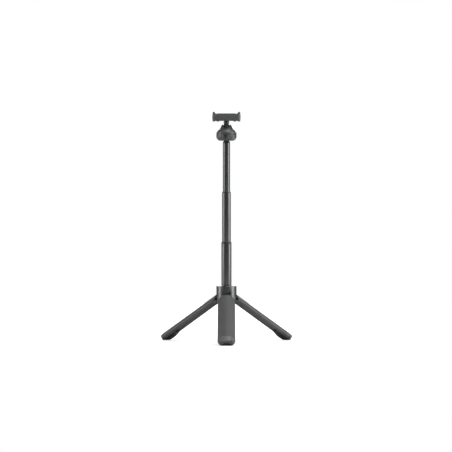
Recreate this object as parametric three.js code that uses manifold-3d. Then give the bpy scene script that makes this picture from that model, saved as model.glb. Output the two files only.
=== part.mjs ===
// Folding tripod selfie stick with a quick-release camera clip. Millimetres, +Z up, legs open.
import * as THREE from 'three';
import { mergeVertices } from 'three/addons/utils/BufferGeometryUtils.js';
import Module from 'manifold-3d';

const wasm = await Module();
wasm.setup();

// General
const TURN = 2 * Math.PI;
const QUARTER = Math.PI / 2;
const ROUND = 24; // sides of a full round
const SMALL_ROUND = 12; // sides of a pin or other small round
const FIT = 0.3; // clearance between neighbouring pieces
const SLIP = 0.1; // clearance of the rod's sliding bushes
const ROD_Y = 24.6; // the rod stands here, so that the open tripod is centred on the origin

// Handle: collar, and legs that fold into one round just proud of it
const COLLAR_R = 16.1;
const LEG_R = 16.4;
const COLLAR_TOP = 90;
const COLLAR_FOOT = 61;
const COLLAR_EDGE_R = 1.5;
const RECESS_HALF = 7.2; // sunk field in the collar over each leg
const RECESS_R = 13.4;
const RECESS_TOP = 82.3;
const WINDOW_HALF = 6.2; // deeper window in the sunk field
const WINDOW_R = 10.9;
const WINDOW_FOOT = 76.6;
const WINDOW_TOP = 81.2;
const CORE_OUTER_R = 9.5;
const CORE_INNER_R = 8.5;
const CORE_FOOT = 4;
const CORE_TOP = 87;

// Legs, measured downwards from the hinge with the leg folded
const LEG_COUNT = 3;
const OPEN_ANGLE = THREE.MathUtils.degToRad(57);
const HINGE_R = 12; // hinge axis from the rod's axis
const HINGE_Z = 74;
const LEG_INNER_R = 10.6;
const LEG_HALF_ANGLE = TURN / 6;
const LEG_EDGE_GAP = 0.25;
const LEG_TOP = 2.6;
const LEG_END = 125.4;
const LEG_HALF_WIDTH = LEG_R * Math.sin(LEG_HALF_ANGLE);
const SHOULDER_WIDE = 9;
const SHOULDER_LONG = 14;
const TOE_CORNER_R = 6.5;
const TOE_START = 112;
const TOE_DROP = 5;
const KNUCKLE_HALF = 5.2;
const KNUCKLE_R = 2.2;
const KNUCKLE_OUTER = 14.2;
const KNUCKLE_INNER = 10.6;
const PIN_R = 0.9;
const PIN_HALF = 7.6;
const GRIP_THICK = 1.1;
const GRIP_HALF_ANGLE = THREE.MathUtils.degToRad(50);
const GRIP_INSET = 1.5;
const GRIP_END = 113.2;
const FOOT_START = 99;
const POCKET_START = 22;
const POCKET_LONG = 15;
const POCKET_STEP = 18.5;
const POCKET_COUNT = 4;
const POCKET_R = 13.6;
const POCKET_HALF_ANGLE = THREE.MathUtils.degToRad(30);

// Rod: outer radius, bore radius, foot and top of each tube
const LOWER = { outer: 8.1, bore: 7.4, foot: 78.2, top: 157.4, lip: 76 };
const MIDDLE = { outer: 7.0, bore: 6.2, foot: 148.5, top: 238.5, lip: 146.3 };
const UPPER = { outer: 5.8, bore: 5.1, foot: 229.6, top: 318, lip: 227.4 };
const LIP_THICK = 2;
const LOWER_MOUTH_TOP = 160.2;
const MIDDLE_MOUTH_TOP = 240.3;

// Ball head
const KNOB_FOOT = 321.7;
const KNOB_TOP = 340.1;
const KNOB_R = 16.15;
const LOBES = 6;
const SCOOP_R = 7;
const SCOOP_OFFSET = 3.7; // scoop's axis beyond the knob's outside
const LOBE_TURN = THREE.MathUtils.degToRad(-35);
const BALL_Z = 343;
const BALL_R = 6.3;
const STEM_R = 4.4;
const HORN_TOP = 347.6;

// Camera clip
const CLIP_FOOT = 353.7;
const CLIP_TOP = 365;
const CLIP_HALF_WIDTH = 21.7;
const CLIP_HALF_DEPTH = 13.5;
const HOOK_HALF_DEPTH = 8;
const HOOK_FOOT = 352.7;
const HOOK_TOP = 368;
const HOOK_PIN_X = 19.6;
const HOOK_PIN_Z = 359.6;
const BUMPER_X = 13.4;
const MAGNET_X = 10.8;

const PAINT = {
  collar: [0x3d3e40, 0.42, 0.55],
  leg: [0x474849, 0.55, 0.2],
  grip: [0x4f5051, 0.8, 0.0],
  rubber: [0x1d1d1e, 0.9, 0.0],
  tube: [0x4a4b4d, 0.28, 0.9],
  plastic: [0x323335, 0.6, 0.0],
  knob: [0x454647, 0.6, 0.0],
  steel: [0x8e9092, 0.3, 1.0],
  ball: [0x55575a, 0.25, 0.95],
  brass: [0xa98a4c, 0.35, 1.0],
  clip: [0x484949, 0.6, 0.0],
};

// ---- Building blocks ----

function tidyMesh(geometry) {
  const bare = geometry.index ? geometry.toNonIndexed() : geometry.clone();
  bare.deleteAttribute('normal');
  bare.deleteAttribute('uv');
  const merged = mergeVertices(bare, 1e-4);
  const kept = [];
  for (let i = 0; i < merged.index.count; i += 3) {
    const [a, b, c] = [0, 1, 2].map((k) => merged.index.getX(i + k));
    if (a !== b && b !== c && c !== a) kept.push(a, b, c);
  }
  merged.setIndex(kept);
  return merged;
}

function signedVolume(geometry) {
  const corner = [new THREE.Vector3(), new THREE.Vector3(), new THREE.Vector3()];
  let sum = 0;
  for (let i = 0; i < geometry.index.count; i += 3) {
    corner.forEach((v, k) => v.fromBufferAttribute(geometry.attributes.position, geometry.index.getX(i + k)));
    sum += corner[0].dot(corner[1].clone().cross(corner[2])) / 6;
  }
  return sum;
}

function outward(geometry) {
  if (signedVolume(geometry) > 0) return geometry;
  const turned = [];
  for (let i = 0; i < geometry.index.count; i += 3) {
    turned.push(geometry.index.getX(i), geometry.index.getX(i + 2), geometry.index.getX(i + 1));
  }
  geometry.setIndex(turned);
  return geometry;
}

function solid(geometry) {
  const clean = outward(tidyMesh(geometry));
  const mesh = new wasm.Mesh({
    numProp: 3,
    vertProperties: new Float32Array(clean.attributes.position.array),
    triVerts: new Uint32Array(clean.index.array),
  });
  return new wasm.Manifold(mesh);
}

function geometryOf(body) {
  const mesh = body.getMesh();
  const geometry = new THREE.BufferGeometry();
  geometry.setAttribute('position', new THREE.BufferAttribute(new Float32Array(mesh.vertProperties), 3));
  geometry.setIndex(new THREE.BufferAttribute(new Uint32Array(mesh.triVerts), 1));
  return geometry;
}

// A turned piece: [radius, height] corners of its closed section, about the Z axis.
function turned(corners, sides = ROUND) {
  const points = corners.map(([r, z]) => new THREE.Vector2(r, z));
  if (corners[0][0] > 0) points.push(points[0].clone());
  return new THREE.LatheGeometry(points, sides).rotateX(QUARTER);
}

function ring(inner, outer, foot, top, sides = ROUND) {
  return turned([[inner, foot], [outer, foot], [outer, top], [inner, top]], sides);
}

function drum(radius, foot, top, sides = ROUND) {
  return turned([[0, foot], [radius, foot], [radius, top], [0, top]], sides);
}

function box(x0, x1, y0, y1, z0, z1) {
  const geometry = new THREE.BoxGeometry(x1 - x0, y1 - y0, z1 - z0);
  return geometry.translate((x0 + x1) / 2, (y0 + y1) / 2, (z0 + z1) / 2);
}

function extruded(shape, depth, curveSegments = 6) {
  return new THREE.ExtrudeGeometry(shape, { depth, bevelEnabled: false, curveSegments });
}

// Standing shape in X and Z, pushed outwards from the rod's axis along -Y.
function pushedOut(shape, reach, curveSegments) {
  return extruded(shape, reach, curveSegments).rotateX(QUARTER);
}

// Side view of a leg, in distance from the rod's axis and height, spread over its width along X.
function spread(shape, halfWidth, curveSegments) {
  const along = new THREE.Matrix4().makeBasis(
    new THREE.Vector3(0, -1, 0),
    new THREE.Vector3(0, 0, 1),
    new THREE.Vector3(-1, 0, 0),
  );
  return extruded(shape, 2 * halfWidth, curveSegments).translate(0, 0, -halfWidth).applyMatrix4(along);
}

function crossRod(radius, halfLength, outwards, height, sides = SMALL_ROUND) {
  return drum(radius, -halfLength, halfLength, sides).rotateY(QUARTER).translate(0, -outwards, height);
}

// One third of the handle's round, facing -Y; its straight sides keep off their neighbours.
function sector(inner, outer, halfAngle, gap, foot, top, curveSegments = 6) {
  const wide = halfAngle - Math.asin(gap / outer);
  const narrow = halfAngle - Math.asin(gap / inner);
  const shape = new THREE.Shape();
  shape.absarc(0, 0, outer, -QUARTER - wide, -QUARTER + wide, false);
  shape.absarc(0, 0, inner, -QUARTER + narrow, -QUARTER - narrow, true);
  return extruded(shape, top - foot, curveSegments).translate(0, 0, foot);
}

// Front view of a leg: arched shoulders above, rounded corners at the toe.
function legFront(grow, top, foot, footCorner) {
  const half = LEG_HALF_WIDTH + grow;
  const wide = SHOULDER_WIDE;
  const long = SHOULDER_LONG;
  const shape = new THREE.Shape();
  shape.absellipse(-half + wide, top - long, wide, long, Math.PI, QUARTER, true);
  shape.absellipse(half - wide, top - long, wide, long, QUARTER, 0, true);
  shape.absarc(half - footCorner, foot + footCorner, footCorner, 0, -QUARTER, true);
  shape.absarc(-half + footCorner, foot + footCorner, footCorner, -QUARTER, -Math.PI, true);
  return shape;
}

// Side view that rounds the toe off, from the handle's outside down to the leg's end.
function toeSide(outer) {
  const shape = new THREE.Shape();
  const foot = HINGE_Z - LEG_END;
  const start = HINGE_Z - TOE_START;
  shape.moveTo(0, HINGE_Z);
  shape.lineTo(outer + 1, HINGE_Z);
  shape.lineTo(outer + 1, start);
  shape.lineTo(outer, start);
  shape.absellipse(outer - TOE_DROP, start, TOE_DROP, start - foot, 0, -QUARTER, true);
  shape.lineTo(9, foot);
  shape.lineTo(0, foot + 8.5);
  return shape;
}

// ---- Legs (folded, facing -Y, rod's axis at the origin) ----

function legShell() {
  const top = HINGE_Z - LEG_TOP;
  const foot = HINGE_Z - LEG_END;
  const front = solid(pushedOut(legFront(0, top, foot, TOE_CORNER_R), LEG_R + 1, 3));
  let shell = solid(sector(LEG_INNER_R, LEG_R, LEG_HALF_ANGLE, LEG_EDGE_GAP, foot, top, 5));
  shell = shell.intersect(front).intersect(solid(spread(toeSide(LEG_R), LEG_R, 2)));
  shell = shell.subtract(gripSeat());
  for (let i = 0; i < POCKET_COUNT; i += 1) {
    const pocketTop = HINGE_Z - POCKET_START - i * POCKET_STEP;
    const pocket = sector(9, POCKET_R, POCKET_HALF_ANGLE, 0, pocketTop - POCKET_LONG, pocketTop, 2);
    shell = shell.subtract(solid(pocket));
  }
  shell = shell.add(knuckle());
  return geometryOf(shell.subtract(solid(crossRod(PIN_R + FIT, KNUCKLE_HALF + 1, HINGE_R, HINGE_Z))));
}

function knuckle() {
  const barrel = solid(crossRod(KNUCKLE_R, KNUCKLE_HALF, HINGE_R, HINGE_Z));
  const foot = HINGE_Z - LEG_TOP - 1;
  const neck = box(-KNUCKLE_HALF, KNUCKLE_HALF, -KNUCKLE_OUTER, -KNUCKLE_INNER, foot, HINGE_Z);
  return barrel.add(solid(neck));
}

function gripSeat() {
  const top = HINGE_Z - LEG_TOP - GRIP_INSET + FIT;
  const foot = HINGE_Z - GRIP_END - FIT;
  const seat = sector(
    LEG_R - GRIP_THICK - FIT, LEG_R + 2, GRIP_HALF_ANGLE, -FIT, foot - 1, top + 1, 4,
  );
  const front = pushedOut(legFront(FIT - GRIP_INSET, top, foot, 2), LEG_R + 3, 2);
  return solid(seat).intersect(solid(front));
}

function legGrip() {
  const top = HINGE_Z - LEG_TOP - GRIP_INSET;
  const foot = HINGE_Z - GRIP_END;
  const panel = sector(LEG_R - GRIP_THICK, LEG_R, GRIP_HALF_ANGLE, 0.01, foot, top, 4);
  const front = pushedOut(legFront(-GRIP_INSET, top, foot, 2), LEG_R + 3, 2);
  const side = spread(toeSide(LEG_R), LEG_R, 2);
  return geometryOf(solid(panel).intersect(solid(front)).intersect(solid(side)));
}

function legFoot() {
  const down = (along) => HINGE_Z - along;
  const side = new THREE.Shape();
  side.moveTo(LEG_INNER_R, down(FOOT_START));
  side.lineTo(5.6, down(101));
  side.quadraticCurveTo(1.2, down(105), 1.3, down(114.5));
  side.quadraticCurveTo(1.4, down(120.5), 3.6, down(122.4));
  side.quadraticCurveTo(6.6, down(124.8), LEG_INNER_R, down(LEG_END - 0.2));
  const top = down(FOOT_START);
  const foot = down(LEG_END);
  const wedge = sector(0.8, LEG_INNER_R - FIT, LEG_HALF_ANGLE, LEG_EDGE_GAP, foot, top, 4);
  const front = pushedOut(legFront(-0.1, top + 40, foot + 0.2, TOE_CORNER_R), LEG_R, 3);
  return geometryOf(solid(wedge).intersect(solid(front)).intersect(solid(spread(side, LEG_R, 4))));
}

// Swings a folded piece out about its hinge and turns it to its place around the rod.
function opened(geometry, turn) {
  geometry.translate(0, HINGE_R, -HINGE_Z).rotateX(-OPEN_ANGLE).translate(0, -HINGE_R, HINGE_Z);
  return geometry.rotateZ(turn);
}

// ---- Collar and core ----

function collar() {
  const edge = [];
  for (let i = 0; i <= 2; i += 1) {
    const a = (i / 2) * QUARTER;
    edge.push([
      COLLAR_R - COLLAR_EDGE_R + COLLAR_EDGE_R * Math.cos(a),
      COLLAR_TOP - COLLAR_EDGE_R + COLLAR_EDGE_R * Math.sin(a),
    ]);
  }
  const bore = CORE_OUTER_R + FIT;
  let body = solid(turned([[bore, COLLAR_FOOT], [COLLAR_R, COLLAR_FOOT], ...edge, [bore, COLLAR_TOP]], 36));
  for (let i = 0; i < LEG_COUNT; i += 1) {
    const turn = (i * TURN) / LEG_COUNT;
    body = body.subtract(solid(legOpening().rotateZ(turn)));
    body = body.subtract(solid(knuckleSlot().rotateZ(turn)));
    body = body.subtract(solid(sunkField().rotateZ(turn)));
    body = body.subtract(solid(fieldWindow().rotateZ(turn)));
    body = body.subtract(solid(crossRod(PIN_R + 0.1, PIN_HALF + 0.2, HINGE_R, HINGE_Z).rotateZ(turn)));
  }
  return geometryOf(body);
}

function legOpening() {
  const gap = 0.9;
  const top = HINGE_Z - LEG_TOP + gap;
  const foot = COLLAR_FOOT - 20;
  const wedge = sector(4, LEG_R + 4, LEG_HALF_ANGLE, -0.1, COLLAR_FOOT - 5, top + 1, 3);
  const front = pushedOut(legFront(gap, top, foot, 2), LEG_R + 5, 3);
  return geometryOf(solid(wedge).intersect(solid(front)));
}

function knuckleSlot() {
  const half = KNUCKLE_HALF + FIT;
  return box(-half, half, -LEG_R - 2, -8, COLLAR_FOOT - 5, HINGE_Z + KNUCKLE_R + FIT + 0.3);
}

function sunkField() {
  return box(-RECESS_HALF, RECESS_HALF, -COLLAR_R - 2, -RECESS_R, HINGE_Z - 4, RECESS_TOP);
}

function fieldWindow() {
  return box(-WINDOW_HALF, WINDOW_HALF, -COLLAR_R - 2, -WINDOW_R, WINDOW_FOOT, WINDOW_TOP);
}

function hingePin() {
  return crossRod(PIN_R, PIN_HALF, HINGE_R, HINGE_Z);
}

function coreTube() {
  return ring(CORE_INNER_R, CORE_OUTER_R, CORE_FOOT + 2.4, CORE_TOP);
}

function corePlug() {
  const spigot = CORE_INNER_R - SLIP;
  return turned([
    [0, CORE_FOOT], [CORE_OUTER_R - 0.6, CORE_FOOT], [CORE_OUTER_R, CORE_FOOT + 0.6],
    [CORE_OUTER_R, CORE_FOOT + 2.1], [spigot, CORE_FOOT + 2.1], [spigot, CORE_FOOT + 4], [0, CORE_FOOT + 4],
  ]);
}

function collarGuide() {
  return ring(LOWER.outer + 0.15, CORE_OUTER_R, CORE_TOP + 0.3, COLLAR_TOP + 0.3);
}

// ---- Rod ----

function tube(section) {
  return ring(section.bore, section.outer, section.foot, section.top);
}

// Thin sleeve around a tube's foot, with a lip under the tube; it slides in the next larger bore.
function slidingBush(section, largerBore, top) {
  const outside = largerBore - SLIP;
  const inside = section.outer + 0.08;
  const lip = section.bore;
  return turned([
    [lip, section.lip], [outside, section.lip], [outside, top], [inside, top],
    [inside, section.lip + LIP_THICK], [lip, section.lip + LIP_THICK],
  ]);
}

function mouthRing(section, innerTube, top) {
  const bore = innerTube.outer + 0.15;
  const foot = section.top + 0.2;
  return turned([
    [bore, foot], [section.outer, foot], [section.outer, top - 0.8],
    [section.outer - 0.5, top], [bore, top],
  ]);
}

// Plug at the rod's top, with a rounded shoulder and a neck into the ball socket.
function rodPlug() {
  const shoulder = [];
  for (let i = 0; i <= 3; i += 1) {
    const a = (i / 3) * QUARTER;
    shoulder.push([4.4 + 1.4 * Math.cos(a), UPPER.top + 0.8 + 2.4 * Math.sin(a)]);
  }
  const spigot = UPPER.bore - 0.15;
  return turned([
    [0, UPPER.top - 12], [spigot, UPPER.top - 12], [spigot, UPPER.top + 0.2], [UPPER.outer, UPPER.top + 0.2],
    ...shoulder, [4.2, UPPER.top + 3.2], [4.2, 330], [0, 330],
  ]);
}

// ---- Ball head ----

// Round cup with a conical rim, two side horns and a notch front and back for the stem.
function ballSocket() {
  const cup = BALL_R + FIT;
  const outside = turned([
    [0, 323], [9.3, 323], [9.3, 336], [11.3, 337.2], [11.3, 339.2], [7.1, HORN_TOP], [0, HORN_TOP],
  ]);
  let body = solid(outside).subtract(solid(new THREE.SphereGeometry(cup, 20, 10).translate(0, 0, BALL_Z)));
  body = body.subtract(solid(drum(4.2 + FIT, 320, 330.3)));
  body = body.subtract(solid(drum(4.9, 330.2, BALL_Z - 3)));
  body = body.subtract(solid(turned([[0, 345.6], [5.6, 345.6], [6.3, HORN_TOP + 1], [0, HORN_TOP + 1]])));
  const notch = new THREE.Shape();
  notch.absarc(0, BALL_Z + 4.3, 5.4, Math.PI, TURN, false);
  notch.lineTo(5.4, HORN_TOP + 2);
  notch.lineTo(-5.4, HORN_TOP + 2);
  const cut = extruded(notch, 30, 6).rotateX(QUARTER).translate(0, 15, 0);
  body = body.subtract(solid(cut));
  return geometryOf(body);
}

function ballCup() {
  return turned([
    [0, 330.6], [4.6, 330.6], [4.6, BALL_Z - BALL_R + 1.3], [2.6, BALL_Z - BALL_R + 0.2],
    [0, BALL_Z - BALL_R - 0.35],
  ]);
}

function ballStud() {
  const corners = [];
  const stemAngle = Math.acos((STEM_R * 0.86) / BALL_R);
  for (let i = 0; i <= 8; i += 1) {
    const a = -QUARTER + (i / 8) * (QUARTER + stemAngle);
    corners.push([Math.max(0, BALL_R * Math.cos(a)), BALL_Z + BALL_R * Math.sin(a)]);
  }
  corners[0][0] = 0;
  corners.push([STEM_R, BALL_Z + 6], [STEM_R, CLIP_FOOT - 0.9], [3.4, CLIP_FOOT - 0.3]);
  corners.push([3.4, CLIP_FOOT + 2.2], [0, CLIP_FOOT + 2.2]);
  const body = solid(turned(corners, 20));
  return geometryOf(body.subtract(solid(drum(1.6, CLIP_FOOT - 4, CLIP_FOOT + 3, SMALL_ROUND))));
}

function lockingKnob() {
  let body = solid(turned([
    [9.9, KNOB_FOOT + 0.8], [10.6, KNOB_FOOT], [13.5, KNOB_FOOT + 1.4], [15.4, KNOB_FOOT + 3.6],
    [KNOB_R, KNOB_FOOT + 6], [KNOB_R, 333.7], [15.4, 336.1], [13.7, 338.3], [12.2, KNOB_TOP],
    [11.25, KNOB_TOP], [11.75, 339], [11.75, KNOB_FOOT + 2.4], [9.9, KNOB_FOOT + 2.4],
  ], 30));
  for (let i = 0; i < LOBES; i += 1) {
    const around = LOBE_TURN + ((i + 0.5) * TURN) / LOBES;
    body = body.subtract(solid(fingerScoop().rotateZ(around)));
  }
  return geometryOf(body);
}

// Thumbnail-shaped hollow in the knob's side: open below, arched above.
function fingerScoop() {
  const reach = SCOOP_R;
  const scoop = turned([
    [0, -14], [reach, -14], [reach, 0], [reach * 0.87, 2], [reach * 0.5, 3.5], [0, 4.2],
  ], 10);
  return scoop.rotateX(-0.1).translate(0, -KNOB_R - SCOOP_OFFSET, 331.2);
}

function knobThread() {
  return ring(9.6, 11.45, KNOB_FOOT + 2.7, 335.6);
}

// ---- Camera clip ----

function roundedPlate(halfWidth, halfDepth, corner, foot, top, curveSegments = 3) {
  const shape = new THREE.Shape();
  const x = halfWidth - corner;
  const y = halfDepth - corner;
  shape.absarc(x, y, corner, 0, QUARTER, false);
  shape.absarc(-x, y, corner, QUARTER, Math.PI, false);
  shape.absarc(-x, -y, corner, Math.PI, 3 * QUARTER, false);
  shape.absarc(x, -y, corner, 3 * QUARTER, TURN, false);
  return extruded(shape, top - foot, curveSegments).translate(0, 0, foot);
}

function clipBase() {
  let body = solid(roundedPlate(CLIP_HALF_WIDTH, CLIP_HALF_DEPTH, 3, CLIP_FOOT, CLIP_TOP));
  const hookGap = HOOK_HALF_DEPTH + FIT;
  for (const side of [-1, 1]) {
    const [inner, outer] = [17.2, CLIP_HALF_WIDTH + 2].map((x) => side * x).sort((a, b) => a - b);
    body = body.subtract(solid(box(inner, outer, -hookGap, hookGap, CLIP_FOOT - 1, CLIP_TOP + 1)));
    body = body.subtract(solid(hookPin(side, 1.1, HOOK_HALF_DEPTH + 3.2)));
    body = body.subtract(solid(drum(4.3, CLIP_TOP - 4, CLIP_TOP + 1, 16).translate(side * MAGNET_X, 0, 0)));
  }
  body = body.subtract(solid(roundedPlate(15.3, 10.3, 2.3, CLIP_TOP - 1.3, CLIP_TOP + 1)));
  body = body.subtract(solid(drum(3.4 + FIT, CLIP_FOOT - 1, CLIP_FOOT + 2.5, 16)));
  body = body.subtract(solid(drum(1.9, CLIP_FOOT, CLIP_TOP, SMALL_ROUND)));
  body = body.subtract(solid(drum(3.6, CLIP_FOOT + 4.6, CLIP_TOP, 16)));
  return geometryOf(body);
}

function seatPlate() {
  return roundedPlate(15, 10, 2, CLIP_TOP - 1, CLIP_TOP + 0.5);
}

function magnet(side) {
  return drum(4, CLIP_TOP - 3.7, CLIP_TOP - 1.3, 16).translate(side * MAGNET_X, 0, 0);
}

function clipScrew() {
  return turned([
    [0, CLIP_FOOT - 3.7], [1.1, CLIP_FOOT - 3.7], [1.4, CLIP_FOOT - 3.3], [1.4, CLIP_FOOT + 4.9],
    [3.3, CLIP_FOOT + 4.9], [3.3, CLIP_FOOT + 6.9], [0, CLIP_FOOT + 6.9],
  ], SMALL_ROUND);
}

function bumper(side) {
  return turned([
    [0, CLIP_FOOT - 1.2], [1.6, CLIP_FOOT - 1.2], [2.4, CLIP_FOOT - 0.6], [2.4, CLIP_FOOT - 0.2],
    [0, CLIP_FOOT - 0.2],
  ], SMALL_ROUND).translate(side * BUMPER_X, -8.6, 0);
}

function hookPin(side, radius, halfLength) {
  const pin = drum(radius, -halfLength, halfLength, SMALL_ROUND).rotateX(QUARTER);
  return pin.translate(side * HOOK_PIN_X, 0, HOOK_PIN_Z);
}

// Side hook: a bowed plate on a cross pin, with a lip over the seat and a finger pad below.
function hook(side) {
  const shape = new THREE.Shape();
  shape.moveTo(22, HOOK_FOOT);
  shape.quadraticCurveTo(23.3, 360.2, 21.7, HOOK_TOP - 0.2);
  shape.lineTo(19.6, HOOK_TOP);
  shape.lineTo(17.6, CLIP_TOP + 1.1);
  shape.lineTo(17.6, 363);
  shape.lineTo(18.3, 361.6);
  shape.lineTo(18.3, HOOK_FOOT + 0.4);
  shape.lineTo(18.8, HOOK_FOOT);
  let body = solid(extruded(shape, 2 * HOOK_HALF_DEPTH, 4).translate(0, 0, -HOOK_HALF_DEPTH).rotateX(QUARTER));
  body = body.add(solid(drum(1.9, -HOOK_HALF_DEPTH, HOOK_HALF_DEPTH, SMALL_ROUND).rotateX(QUARTER)
    .translate(HOOK_PIN_X, 0, HOOK_PIN_Z)));
  body = body.subtract(solid(hookPin(1, 1 + FIT, HOOK_HALF_DEPTH + 1)));
  body = body.subtract(solid(box(15, 21.6, -3.2, 3.2, 356.2, 362.8)));
  const geometry = geometryOf(body);
  return side > 0 ? geometry : geometry.rotateZ(Math.PI);
}

// Torsion spring wound around a hook's cross pin.
class Coil extends THREE.Curve {
  constructor(radius, turns, halfLength) {
    super();
    Object.assign(this, { radius, turns, halfLength });
  }

  getPoint(t) {
    const a = t * this.turns * TURN;
    return new THREE.Vector3(
      this.radius * Math.cos(a), (2 * t - 1) * this.halfLength, this.radius * Math.sin(a),
    );
  }
}

function hookSpring(side) {
  const wire = new THREE.Shape();
  wire.absarc(0, 0, 0.25, 0, TURN, false);
  const path = new Coil(1.45, 3, 1.8);
  const coil = new THREE.ExtrudeGeometry(wire, { steps: 27, curveSegments: 2, extrudePath: path });
  return coil.translate(side * HOOK_PIN_X, 0, HOOK_PIN_Z);
}

// ---- Assembly ----

function buildStick() {
  const stick = new THREE.Group();
  stick.name = 'selfie_stick';
  const add = (name, geometry, paint) => {
    const [color, roughness, metalness] = PAINT[paint];
    const mesh = new THREE.Mesh(
      outward(tidyMesh(geometry)).translate(0, ROD_Y, 0),
      new THREE.MeshStandardMaterial({ color, roughness, metalness }),
    );
    mesh.name = name;
    stick.add(mesh);
  };

  add('collar', collar(), 'collar');
  add('collar_guide', collarGuide(), 'plastic');
  add('core_tube', coreTube(), 'tube');
  add('core_plug', corePlug(), 'plastic');
  ['front', 'right', 'left'].forEach((name, i) => {
    const turn = (i * TURN) / LEG_COUNT;
    add(`${name}_hinge_pin`, hingePin().rotateZ(turn), 'steel');
    add(`${name}_leg_shell`, opened(legShell(), turn), 'leg');
    add(`${name}_leg_grip`, opened(legGrip(), turn), 'grip');
    add(`${name}_leg_foot`, opened(legFoot(), turn), 'rubber');
  });

  add('lower_tube', tube(LOWER), 'tube');
  add('lower_bush', slidingBush(LOWER, CORE_INNER_R, CORE_TOP), 'plastic');
  add('lower_mouth_ring', mouthRing(LOWER, MIDDLE, LOWER_MOUTH_TOP), 'plastic');
  add('middle_tube', tube(MIDDLE), 'tube');
  add('middle_bush', slidingBush(MIDDLE, LOWER.bore, LOWER.top - 0.1), 'plastic');
  add('middle_mouth_ring', mouthRing(MIDDLE, UPPER, MIDDLE_MOUTH_TOP), 'plastic');
  add('upper_tube', tube(UPPER), 'tube');
  add('upper_bush', slidingBush(UPPER, MIDDLE.bore, MIDDLE.top - 0.1), 'plastic');

  add('rod_plug', rodPlug(), 'plastic');
  add('ball_socket', ballSocket(), 'plastic');
  add('ball_cup', ballCup(), 'brass');
  add('locking_knob', lockingKnob(), 'knob');
  add('knob_thread', knobThread(), 'brass');
  add('ball_stud', ballStud(), 'ball');

  add('clip_base', clipBase(), 'clip');
  add('clip_seat', seatPlate(), 'clip');
  add('clip_screw', clipScrew(), 'steel');
  [['left', -1], ['right', 1]].forEach(([name, side]) => {
    add(`${name}_hook`, hook(side), 'clip');
    add(`${name}_hook_pin`, hookPin(side, 1, HOOK_HALF_DEPTH + 3), 'steel');
    add(`${name}_hook_spring`, hookSpring(side), 'steel');
    add(`${name}_magnet`, magnet(side), 'steel');
    add(`${name}_bumper`, bumper(side), 'rubber');
  });
  return stick;
}

export default buildStick();
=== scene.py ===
"""Folding tripod selfie stick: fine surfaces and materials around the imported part.

Shapes are worked out in millimetres about the rod's axis, and then moved into the part's frame in
metres.
"""

import math

import bmesh
import bpy
from mathutils import Matrix, Vector


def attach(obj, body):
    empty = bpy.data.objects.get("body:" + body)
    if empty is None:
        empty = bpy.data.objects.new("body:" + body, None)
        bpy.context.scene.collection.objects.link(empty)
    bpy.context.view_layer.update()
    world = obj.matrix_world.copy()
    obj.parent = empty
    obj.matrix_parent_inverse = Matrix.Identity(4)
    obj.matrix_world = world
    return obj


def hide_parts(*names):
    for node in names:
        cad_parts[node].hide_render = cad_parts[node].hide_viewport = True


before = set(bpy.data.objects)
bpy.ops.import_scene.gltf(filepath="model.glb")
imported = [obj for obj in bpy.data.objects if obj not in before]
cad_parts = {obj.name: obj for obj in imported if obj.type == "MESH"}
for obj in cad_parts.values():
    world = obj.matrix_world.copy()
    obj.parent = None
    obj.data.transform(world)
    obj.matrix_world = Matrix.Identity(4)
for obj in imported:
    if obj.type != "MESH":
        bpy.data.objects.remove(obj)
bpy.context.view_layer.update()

MM = 0.001
TURN = 2 * math.pi
QUARTER = math.pi / 2
ROD_Y = 24.6
SIDES = 96
SMALL_SIDES = 40

# Handle
COLLAR_R = 16.1
LEG_R = 16.4
COLLAR_TOP = 90.0
COLLAR_FOOT = 61.0
CORE_OUTER_R = 9.5
CORE_INNER_R = 8.5
CORE_FOOT = 4.0
CORE_TOP = 87.0
COLLAR_EDGE = 1.5
RECESS_HALF = 7.2
RECESS_R = 13.4
RECESS_TOP = 82.3
WINDOW_HALF = 6.2
WINDOW_R = 10.9
WINDOW_FOOT = 76.6
WINDOW_TOP = 81.2

# Legs, measured downwards from the hinge with the leg folded
LEG_NAMES = ("front", "right", "left")
OPEN_ANGLE = math.radians(57)
HINGE_R = 12.0
HINGE_Z = 74.0
LEG_INNER_R = 10.6
LEG_HALF_ANGLE = TURN / 6
LEG_EDGE_GAP = 0.25
LEG_TOP = 2.6
LEG_END = 125.4
LEG_HALF_WIDTH = LEG_R * math.sin(LEG_HALF_ANGLE)
SHOULDER_WIDE = 9.0
SHOULDER_LONG = 14.0
TOE_CORNER_R = 6.8
TOE_START = 112.0
TOE_DROP = 5.0
KNUCKLE_HALF = 5.2
KNUCKLE_R = 2.2
KNUCKLE_INNER = 10.6
PIN_R = 0.9
PIN_HALF = 7.6
GRIP_HALF_ANGLE = math.radians(50)
GRIP_INSET = 1.5
GRIP_END = 113.2
GRIP_THICK = 1.1
GRIP_CORNER_R = 2.0
SEAT_GAP = 0.3
UNTRIMMED = 30.0
POCKET_R = 13.6
POCKET_HALF_ANGLE = math.radians(30)
POCKET_COUNT = 4
POCKET_START = 22.0
POCKET_STEP = 18.5
POCKET_LONG = 15.0
POCKET_EDGE = 0.8
HOLLOW_TURN = math.radians(36.5)
HOLLOW_HALF_ANGLE = math.radians(19)
HOLLOW_INNER_R = 11.3
HOLLOW_OUTER_R = 14.6
HOLLOW_START = 2.0
HOLLOW_END = 17.0

# Rod
LOWER = {"outer": 8.1, "bore": 7.4, "foot": 78.2, "top": 157.4, "lip": 76.0}
MIDDLE = {"outer": 7.0, "bore": 6.2, "foot": 148.5, "top": 238.5, "lip": 146.3}
UPPER = {"outer": 5.8, "bore": 5.1, "foot": 229.6, "top": 318.0, "lip": 227.4}
LOWER_MOUTH_TOP = 160.2
MIDDLE_MOUTH_TOP = 240.3
PLUG_NECK_R = 4.2
PLUG_TOP = 330.0

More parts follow.
